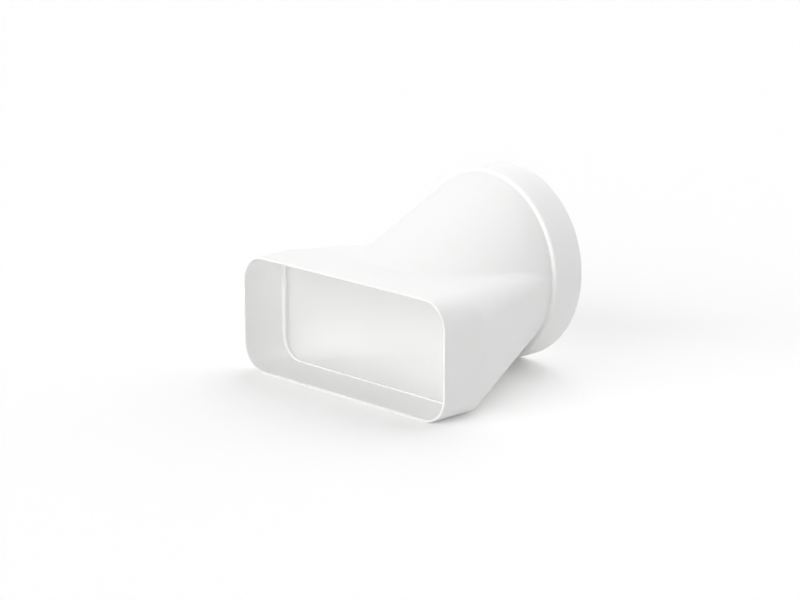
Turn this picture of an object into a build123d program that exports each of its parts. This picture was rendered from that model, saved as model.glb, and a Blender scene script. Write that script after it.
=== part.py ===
from build123d import *
import os
from math import cos, radians, sin

# Duct adapter: one moulded fitting that joins a flat duct to a round pipe.
# Millimetres, +Z up. X runs across the flat mouth, Y from the flat mouth to the round mouth.
# The origin lies on the floor under the middle of the fitting.

# Flat duct that slides into the front socket, measured on its outside
FLAT_DUCT_WIDTH = 222.0
FLAT_DUCT_HEIGHT = 89.0
FLAT_DUCT_CORNER = 19.5
FLAT_CLEARANCE = 0.7
FLAT_SOCKET_DEPTH = 39.0
FLAT_STOP_SIDE = 3.2
FLAT_STOP_LOW = 0.9
FLAT_STOP_THICKNESS = 2.0

# Round pipe that slides into the rear socket, measured on its outside
ROUND_PIPE_DIAMETER = 153.0
ROUND_CLEARANCE = 0.4
ROUND_SOCKET_DEPTH = 28.2
ROUND_STOP = 3.6

# The moulded wall, and the passage between the two sockets
WALL = 1.8
PASSAGE_LENGTH = 116.0

# The trunk's upper corners run back as ridges and die out beside the pipe, a little over its axis
RIDGE_END_RISE = 9.0
RIDGE_END_RADIUS = 7.5

# The hood over the trunk: it starts as a broad arc just under the roof, a little wider than the flat
# socket, and ends as the pipe's upper half, set back a little from the trunk's sides
HOOD_START_OVERHANG = 6.5
HOOD_START_DEPTH = 6.0
HOOD_SETBACK = 0.3

# Flat that is left of the floor where it runs into the pipe's lowest line
FLOOR_FLAT_END = 6.0

# The rounding of the valley between trunk and hood, and the bevels on the rims and the shoulder
VALLEY_ROUND = 6.0
RIM_BEVEL = 0.5
SHOULDER_BEVEL = 0.8

# Outside sizes that follow from the duct and the pipe
flat_width = FLAT_DUCT_WIDTH + 2 * (FLAT_CLEARANCE + WALL)
flat_height = FLAT_DUCT_HEIGHT + 2 * (FLAT_CLEARANCE + WALL)
flat_corner = FLAT_DUCT_CORNER + FLAT_CLEARANCE + WALL
hood_start_radius = flat_width / 2 + HOOD_START_OVERHANG
bore_radius = ROUND_PIPE_DIAMETER / 2 + ROUND_CLEARANCE
collar_radius = bore_radius + WALL
neck_radius = collar_radius - ROUND_STOP
throat_radius = neck_radius - HOOD_SETBACK - WALL
axis_height = collar_radius

# Places along Y
length = FLAT_SOCKET_DEPTH + PASSAGE_LENGTH + WALL + ROUND_SOCKET_DEPTH
mouth_y = -length / 2
crease_y = mouth_y + FLAT_SOCKET_DEPTH
shoulder_y = crease_y + PASSAGE_LENGTH
round_stop_y = shoulder_y + WALL
end_y = length / 2


def trunk_edges(y, half_width, floor, roof, low_corner, ridge):
    """Edges across Y of a box with one radius on its lower corners and one on its ridges, in order."""

    def at(x, z):
        return Vector(x, y, z)

    def corner(centre_x, centre_z, radius, start):
        way = [start, start + 45, start + 90]
        return Edge.make_three_point_arc(
            *[at(centre_x + radius * cos(radians(a)), centre_z + radius * sin(radians(a))) for a in way]
        )

    floor_half = half_width - low_corner
    roof_half = half_width - ridge
    side_low = floor + low_corner
    side_high = roof - ridge
    return [
        Edge.make_line(at(-floor_half, floor), at(floor_half, floor)),
        corner(floor_half, side_low, low_corner, 270),
        Edge.make_line(at(half_width, side_low), at(half_width, side_high)),
        corner(roof_half, side_high, ridge, 0),
        Edge.make_line(at(roof_half, roof), at(-roof_half, roof)),
        corner(-roof_half, side_high, ridge, 90),
        Edge.make_line(at(-half_width, side_high), at(-half_width, side_low)),
        corner(-floor_half, side_low, low_corner, 180),
    ]


def flat_edges(y, inset):
    """Edges of the flat socket, drawn in by inset."""
    corner = flat_corner - inset
    return trunk_edges(y, flat_width / 2 - inset, inset, flat_height - inset, corner, corner)


def stop_edges():
    """Edges of the opening in the flat duct's stop, which is high at the sides and low on the floor and roof."""
    half_width = flat_width / 2 - WALL - FLAT_STOP_SIDE
    floor = WALL + FLAT_STOP_LOW
    corner = flat_corner - floor
    return trunk_edges(crease_y, half_width, floor, flat_height - floor, corner, corner)


def neck_edges(inset):
    """Edges of the trunk's end: the pipe's lower half, with the ridges beside it."""
    low_corner = neck_radius - FLOOR_FLAT_END / 2 - inset
    return trunk_edges(
        shoulder_y,
        neck_radius - inset,
        axis_height - low_corner,
        axis_height + RIDGE_END_RISE - inset,
        low_corner,
        RIDGE_END_RADIUS - inset,
    )


def between(start_edges, finish_edges):
    """Solid between two outlines of like edges: flat where two lines meet, ruled where two arcs meet."""
    faces = [Face(Wire(start_edges)), Face(Wire(finish_edges))]
    for start, finish in zip(start_edges, finish_edges):
        if start.geom_type == GeomType.LINE:
            faces.append(Face(Wire.make_polygon([start @ 0, start @ 1, finish @ 1, finish @ 0])))
        else:
            faces.append(Face.make_surface_from_curves(start, finish))
    return Solid(Shell(faces))


def ring(y, centre_z, radius):
    """Circle across Y."""
    return Edge.make_circle(radius, Plane((0, y, centre_z), x_dir=(1, 0, 0), z_dir=(0, 1, 0)))


def trunk(inset):
    """The box-like lower part: the flat socket's outline narrows to the pipe's lower half."""
    return between(flat_edges(crease_y, inset), neck_edges(inset))


def hood(inset):
    """The part of a leaning cone that stands above the pipe's axis."""
    start_centre = flat_height - HOOD_START_DEPTH - hood_start_radius
    cone = Solid.make_loft([
        Wire([ring(crease_y, start_centre, hood_start_radius - inset)]),
        Wire([ring(shoulder_y, axis_height, neck_radius - HOOD_SETBACK - inset)]),
    ], ruled=True)
    size = 2 * (length + flat_width + hood_start_radius)
    return cone - Pos(0, 0, axis_height - size / 2) * Box(size, size, size)


def passage(inset):
    """Trunk and hood in one, drawn in by inset, with the valley between them rounded."""
    low = trunk(inset)
    high = hood(inset)
    whole = low + high
    return whole.fillet(VALLEY_ROUND + inset, new_edges(low, high, combined=whole))


def straight(edges, finish):
    """Solid that runs along Y from an outline to finish."""
    face = Face(Wire(edges))
    return Solid.extrude(face, Vector(0, finish - face.center().Y, 0))


def edges_at(body, y):
    """Edges of the body that lie in the plane at y."""
    margin = 1e-4
    return body.edges().filter_by_position(Axis.Y, y - margin, y + margin)


def adapter_body():
    """Flat socket, passage and round socket as one hollow moulding."""
    outside = passage(0)
    outside += straight(flat_edges(mouth_y, 0), crease_y)
    outside += straight([ring(shoulder_y, axis_height, collar_radius)], end_y)

    stop_back = crease_y + FLAT_STOP_THICKNESS
    hollow = passage(WALL) - straight(flat_edges(crease_y, 0), stop_back)
    hollow += straight(stop_edges(), stop_back)
    hollow += straight(flat_edges(mouth_y, WALL), crease_y)
    hollow += straight([ring(shoulder_y, axis_height, throat_radius)], round_stop_y)
    hollow += straight([ring(round_stop_y, axis_height, bore_radius)], end_y)

    body = outside - hollow
    body = body.chamfer(RIM_BEVEL, None, edges_at(body, mouth_y) + edges_at(body, end_y))
    shoulder_edge = edges_at(body, shoulder_y).sort_by(SortBy.LENGTH)[-1]
    return body.chamfer(SHOULDER_BEVEL, None, [shoulder_edge])


os.makedirs("parts", exist_ok=True)
export_step(adapter_body(), "parts/adapter_body.step")
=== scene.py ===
from math import cos, radians, sin

import bpy
from bpy.props import FloatProperty, FloatVectorProperty, PointerProperty
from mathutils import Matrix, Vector


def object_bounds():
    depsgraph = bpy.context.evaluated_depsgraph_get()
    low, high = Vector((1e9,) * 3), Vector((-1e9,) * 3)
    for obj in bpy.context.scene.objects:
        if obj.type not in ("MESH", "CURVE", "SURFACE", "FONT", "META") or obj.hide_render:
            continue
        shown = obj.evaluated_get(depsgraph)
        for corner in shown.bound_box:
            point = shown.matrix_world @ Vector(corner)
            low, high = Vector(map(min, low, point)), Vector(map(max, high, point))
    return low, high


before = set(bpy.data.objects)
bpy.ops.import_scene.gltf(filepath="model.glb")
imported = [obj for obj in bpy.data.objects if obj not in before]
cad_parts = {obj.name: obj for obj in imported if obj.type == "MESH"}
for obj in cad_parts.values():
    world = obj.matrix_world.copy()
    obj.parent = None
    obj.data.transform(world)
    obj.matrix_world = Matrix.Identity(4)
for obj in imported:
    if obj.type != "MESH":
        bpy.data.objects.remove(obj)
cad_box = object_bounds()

bl_info = {
    "name": "Duct adapter",
    "version": (1, 0, 0),
    "blender": (4, 5, 0),
    "location": "View3D > Sidebar > Duct adapter",
    "description": "Finishes a moulded duct adapter and sets it on a white studio floor",
    "category": "Object",
}

BODY_NODE = "adapter_body"
MM = 0.001

# Moulded plastic: the melt's clouds, the mould's grain, and light that scatters alike in all colours
ABS_IOR = 1.54
CLOUD_DETAIL = 3.0
CLOUD_DISTORTION = 0.6
GRAIN_DETAIL = 2.0
GRAIN_STRENGTH = 0.12
GRAIN_HEIGHT = 0.05 * MM
SCATTER_BALANCE = (1.0, 1.0, 1.0)

# Studio: each softbox has its level and its direction in the stage's settings. A filtered one gives no
# sheen, so that the low front light doesn't flare on the roof as seen from behind
SOFTBOXES = ("front", "back", "top")
FILTERED_SOFTBOXES = ("front",)
WHITE = "#FFFFFF"
WHITE_LEVEL = 1.0
SENSOR_WIDTH = 36


def linear(hex_colour):
    """Turn an sRGB hex colour into linear red, green and blue, with full alpha."""

    def channel(start):
        value = int(hex_colour[start:start + 2], 16) / 255
        if value <= 0.04045:
            return value / 12.92
        return ((value + 0.055) / 1.055) ** 2.4

    return (channel(1), channel(3), channel(5), 1.0)


# Settings


class DuctPlasticSettings(bpy.types.PropertyGroup):
    """Finish of the moulded body."""

    colour: FloatVectorProperty(
        name="Plastic",
        description="Colour of the plastic",
        subtype="COLOR",
        size=4,
        min=0,
        max=1,
        default=linear("#FBFBFA"),
    )
    flow_colour: FloatVectorProperty(
        name="Flow clouds",
        description="Colour of the faint clouds that the melt leaves in the surface",
        subtype="COLOR",
        size=4,
        min=0,
        max=1,
        default=linear("#F8F8F6"),
    )
    flow_size: FloatProperty(
        name="Flow clouds' size",
        description="Width of one cloud, in millimetres",
        default=45,
        min=5,
    )
    grain_size: FloatProperty(
        name="Mould grain",
        description="Width of one grain of the mould's matt finish, in millimetres",
        default=1.6,
        min=0.1,
    )
    roughness_low: FloatProperty(
        name="Lowest roughness",
        description="Roughness where the melt met the mould first",
        subtype="FACTOR",
        default=0.5,
        min=0,
        max=1,
    )
    roughness_high: FloatProperty(
        name="Highest roughness",
        description="Roughness in the middle of a cloud",
        subtype="FACTOR",
        default=0.58,
        min=0,
        max=1,
    )
    scatter_weight: FloatProperty(
        name="Scatter",
        description="Share of the light that enters the plastic and scatters in it",
        subtype="FACTOR",
        default=0.8,
        min=0,
        max=1,
    )
    scatter_depth: FloatProperty(
        name="Scatter depth",
        description="How far light gets in the plastic, in millimetres",
        default=1.5,
        min=0,
    )


class DuctStageSettings(bpy.types.PropertyGroup):
    """Floor, light and camera."""

    floor_colour: FloatVectorProperty(
        name="Floor",
        description="Colour of the white paper floor",
        subtype="COLOR",
        size=4,
        min=0,
        max=1,
        default=linear("#FCFCFC"),
    )
    floor_side: FloatProperty(
        name="Floor side",
        description="Length of the square floor's side",
        unit="LENGTH",
        default=16,
        min=1,
    )
    floor_lift: FloatProperty(
        name="Floor lift",
        description="What the camera sees of the floor beyond its own light, so that it ends in white",
        default=0.17,
        min=0,
    )
    sky_level: FloatProperty(
        name="Sky level",
        description="Light that comes evenly from all sides",
        default=0.02,
        min=0,
    )
    softbox_spread: FloatProperty(
        name="Softbox spread",
        description="Angle that each softbox fills, as seen from the object",
        subtype="ANGLE",
        default=radians(90),
        min=radians(1),
        max=radians(179),
    )
    front_level: FloatProperty(
        name="Front softbox level",
        description="Strength of the low softbox in front of the flat mouth, in watts per square metre",
        default=4.0,
        min=0,
    )
    front_from: FloatVectorProperty(
        name="Front softbox from",
        description="Direction that the front softbox shines from",
        subtype="DIRECTION",
        size=3,
        default=(0.087, -0.996, 0.02),
    )
    back_level: FloatProperty(
        name="Back softbox level",
        description="Strength of the softbox above and behind the collar, in watts per square metre",
        default=1.85,
        min=0,
    )
    back_from: FloatVectorProperty(
        name="Back softbox from",
        description="Direction that the back softbox shines from",
        subtype="DIRECTION",
        size=3,
        default=(0.0, 0.82, 0.574),
    )
    top_level: FloatProperty(
        name="Top softbox level",
        description="Strength of the weak softbox high at the hood's left, in watts per square metre",
        default=0.85,
        min=0,
    )
    top_from: FloatVectorProperty(
        name="Top softbox from",
        description="Direction that the top softbox shines from",
        subtype="DIRECTION",
        size=3,
        default=(-0.397, 0.145, 0.906),
    )
    camera_azimuth: FloatProperty(
        name="Camera azimuth",
        description="Angle of the camera to the right of the flat mouth",
        subtype="ANGLE",
        default=radians(46.49),
    )
    camera_elevation: FloatProperty(
        name="Camera elevation",
        description="Angle of the camera above the floor",
        subtype="ANGLE",
        default=radians(14.12),
    )
    camera_distance: FloatProperty(
        name="Camera distance",
        description="Distance from the camera to the point it looks at",
        unit="LENGTH",
        default=1.9672,
        min=0.1,
    )
    camera_target: FloatVectorProperty(
        name="Camera target",
        description="Point that the camera looks at",
        subtype="XYZ",
        unit="LENGTH",
        size=3,
        default=(0.003256, -0.0325, 0.066498),
    )
    camera_lens: FloatProperty(
        name="Camera lens",
        description="Focal length in millimetres, for a picture 36 mm wide",
        default=114.55,
        min=1,
    )


# Finishes


def per_metre(size_mm):
    """Scale of a texture whose pattern has that size."""
    return 1 / (size_mm * MM)


def empty_tree(owner):
    """Switch a material or world to nodes, and give back its cleared tree."""
    owner.use_nodes = True
    owner.node_tree.nodes.clear()
    return owner.node_tree


def add_node(tree, kind, values=None, links=None):
    """Add a node, set its settings and its sockets' values, and link its inputs to other sockets."""
    node = tree.nodes.new(kind)
    sockets = {socket.identifier: socket for socket in node.inputs}
    for name, value in (values or {}).items():
        if name in sockets:
            sockets[name].default_value = value
        else:
            setattr(node, name, value)
    for name, source in (links or {}).items():
        tree.links.new(source, sockets[name])
    return node


def moulded_white_abs(settings):
    """White ABS, injection moulded in a finely blasted mould.

    The eye gets a satin white with a soft, wide sheen, very faint clouds where the melt flowed, and a fine
    grain that shows only where light grazes it. Light gets a little way into the plastic, which softens its
    edges and shadows. The grain is drawn coarser than the real one, to show at all.
    """
    material = bpy.data.materials.new("moulded_white_abs")
    tree = empty_tree(material)
    place = add_node(tree, "ShaderNodeTexCoord").outputs["Object"]
    clouds = add_node(tree, "ShaderNodeTexNoise", {
        "Scale": per_metre(settings.flow_size),
        "Detail": CLOUD_DETAIL,
        "Distortion": CLOUD_DISTORTION,
    }, {"Vector": place})
    grain = add_node(tree, "ShaderNodeTexNoise", {
        "Scale": per_metre(settings.grain_size),
        "Detail": GRAIN_DETAIL,
    }, {"Vector": place})
    colour = add_node(tree, "ShaderNodeMix", {
        "data_type": "RGBA",
        "A_Color": settings.colour,
        "B_Color": settings.flow_colour,
    }, {"Factor_Float": clouds.outputs["Fac"]})
    mixed_colour = next(socket for socket in colour.outputs if socket.identifier == "Result_Color")
    roughness = add_node(tree, "ShaderNodeMapRange", {
        "To Min": settings.roughness_low,
        "To Max": settings.roughness_high,
    }, {"Value": clouds.outputs["Fac"]})
    bump = add_node(tree, "ShaderNodeBump", {
        "Strength": GRAIN_STRENGTH,
        "Distance": GRAIN_HEIGHT,
    }, {"Height": grain.outputs["Fac"]})
    plastic = add_node(tree, "ShaderNodeBsdfPrincipled", {
        "IOR": ABS_IOR,
        "Subsurface Weight": settings.scatter_weight,
        "Subsurface Radius": SCATTER_BALANCE,
        "Subsurface Scale": settings.scatter_depth * MM,
    }, {
        "Base Color": mixed_colour,
        "Roughness": roughness.outputs["Result"],
        "Normal": bump.outputs["Normal"],
    })
    add_node(tree, "ShaderNodeOutputMaterial", links={"Surface": plastic.outputs["BSDF"]})
    return material


def seen_directly(tree):
    """One for what the camera sees, itself or in a reflection or through glass, and zero for other light."""
    path = add_node(tree, "ShaderNodeLightPath")
    sharp = add_node(tree, "ShaderNodeMath", {"operation": "MAXIMUM"}, {
        "Value": path.outputs["Is Glossy Ray"],
        "Value_001": path.outputs["Is Transmission Ray"],
    })
    return add_node(tree, "ShaderNodeMath", {"operation": "MAXIMUM"}, {
        "Value": path.outputs["Is Camera Ray"],
        "Value_001": sharp.outputs["Value"],
    }).outputs["Value"]


def white_paper(settings):
    """Matt white background paper, which takes the object's shadow and ends in white."""
    material = bpy.data.materials.new("white_paper")
    tree = empty_tree(material)
    paper = add_node(tree, "ShaderNodeBsdfDiffuse", {"Color": settings.floor_colour})
    lift_level = add_node(tree, "ShaderNodeMath", {
        "operation": "MULTIPLY",
        "Value_001": settings.floor_lift,
    }, {"Value": seen_directly(tree)})
    lift = add_node(tree, "ShaderNodeEmission", links={"Strength": lift_level.outputs["Value"]})
    both = add_node(tree, "ShaderNodeAddShader", links={
        "Shader": paper.outputs["BSDF"],
        "Shader_001": lift.outputs["Emission"],
    })
    add_node(tree, "ShaderNodeOutputMaterial", links={"Surface": both.outputs["Shader"]})
    return material


# Stage


def add_object(scene, name, data):
    """Link a new object to the scene."""
    made = bpy.data.objects.new(name, data)
    scene.collection.objects.link(made)
    return made


def lay_floor(scene, settings):
    """Square of paper at the level of the object's lowest point."""
    half = settings.floor_side / 2
    level = cad_box[0].z
    corners = [(-half, -half, level), (half, -half, level), (half, half, level), (-half, half, level)]
    mesh = bpy.data.meshes.new("paper_floor")
    mesh.from_pydata(corners, [], [(0, 1, 2, 3)])
    mesh.materials.append(white_paper(settings))
    add_object(scene, "paper_floor", mesh)


def set_sky(scene, settings):
    """Even light from all sides, which the camera sees as white."""
    scene.world = bpy.data.worlds.new("studio_sky")
    tree = empty_tree(scene.world)
    level = add_node(tree, "ShaderNodeMapRange", {
        "To Min": settings.sky_level,
        "To Max": WHITE_LEVEL,
    }, {"Value": seen_directly(tree)})
    sky = add_node(tree, "ShaderNodeBackground", {
        "Color": linear(WHITE),
    }, {"Strength": level.outputs["Result"]})
    add_node(tree, "ShaderNodeOutputWorld", links={"Surface": sky.outputs["Background"]})


def hang_softbox(scene, settings, name):
    """One broad light, so far off that it falls evenly on the whole stage."""
    lamp = bpy.data.lights.new(name + "_softbox", "SUN")
    lamp.energy = getattr(settings, name + "_level")
    lamp.angle = settings.softbox_spread
    softbox = add_object(scene, name + "_softbox", lamp)
    toward = Vector(getattr(settings, name + "_from"))
    softbox.location = toward
    softbox.rotation_euler = toward.to_track_quat("Z", "Y").to_euler()
    softbox.visible_glossy = name not in FILTERED_SOFTBOXES


def place_camera(scene, settings):
    """Camera at the photograph's angle."""
    lens = bpy.data.cameras.new("camera")
    lens.sensor_width = SENSOR_WIDTH
    lens.sensor_fit = "HORIZONTAL"
    lens.lens = settings.camera_lens
    camera = add_object(scene, "camera", lens)
    azimuth = settings.camera_azimuth
    elevation = settings.camera_elevation
    back = Vector((sin(azimuth) * cos(elevation), -cos(azimuth) * cos(elevation), sin(elevation)))
    camera.location = Vector(settings.camera_target) + back * settings.camera_distance
    camera.rotation_euler = back.to_track_quat("Z", "Y").to_euler()
    scene.camera = camera


# Steps


class DUCT_OT_finish_body(bpy.types.Operator):
    """Give the adapter's body its moulded white plastic"""

    bl_idname = "duct.finish_body"
    bl_label = "Finish the body"

    def execute(self, context):
        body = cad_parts[BODY_NODE]
        if not body.material_slots:
            raise RuntimeError("The body has no slot for its plastic")
        material = moulded_white_abs(context.scene.duct_plastic)
        for slot in body.material_slots:
            slot.material = material
        return {"FINISHED"}


class DUCT_OT_set_stage(bpy.types.Operator):
    """Lay the floor, set the light and place the camera"""

    bl_idname = "duct.set_stage"
    bl_label = "Set the stage"

    def execute(self, context):
        scene = context.scene
        settings = scene.duct_stage
        lay_floor(scene, settings)
        set_sky(scene, settings)
        for name in SOFTBOXES:
            hang_softbox(scene, settings, name)
        place_camera(scene, settings)
        scene.view_settings.view_transform = "Standard"
        return {"FINISHED"}


class DUCT_PT_panel(bpy.types.Panel):
    """Lists the steps and their settings"""

    bl_idname = "DUCT_PT_panel"
    bl_label = "Duct adapter"
    bl_space_type = "VIEW_3D"
    bl_region_type = "UI"
    bl_category = "Duct adapter"

    def draw(self, context):
        steps = (
            (DUCT_OT_finish_body, context.scene.duct_plastic),
            (DUCT_OT_set_stage, context.scene.duct_stage),
        )
        for operator, settings in steps:
            column = self.layout.column()
            for name in type(settings).__annotations__:
                column.prop(settings, name)
            column.operator(operator.bl_idname)


CLASSES = (
    DuctPlasticSettings,
    DuctStageSettings,
    DUCT_OT_finish_body,
    DUCT_OT_set_stage,
    DUCT_PT_panel,
)


def register():
    for each in CLASSES:
        bpy.utils.register_class(each)
    bpy.types.Scene.duct_plastic = PointerProperty(type=DuctPlasticSettings)
    bpy.types.Scene.duct_stage = PointerProperty(type=DuctStageSettings)


def unregister():
    del bpy.types.Scene.duct_stage
    del bpy.types.Scene.duct_plastic
    for each in reversed(CLASSES):
        bpy.utils.unregister_class(each)


def main():
    register()
    bpy.ops.duct.finish_body()
    bpy.ops.duct.set_stage()


if __name__ == "__main__":
    main()
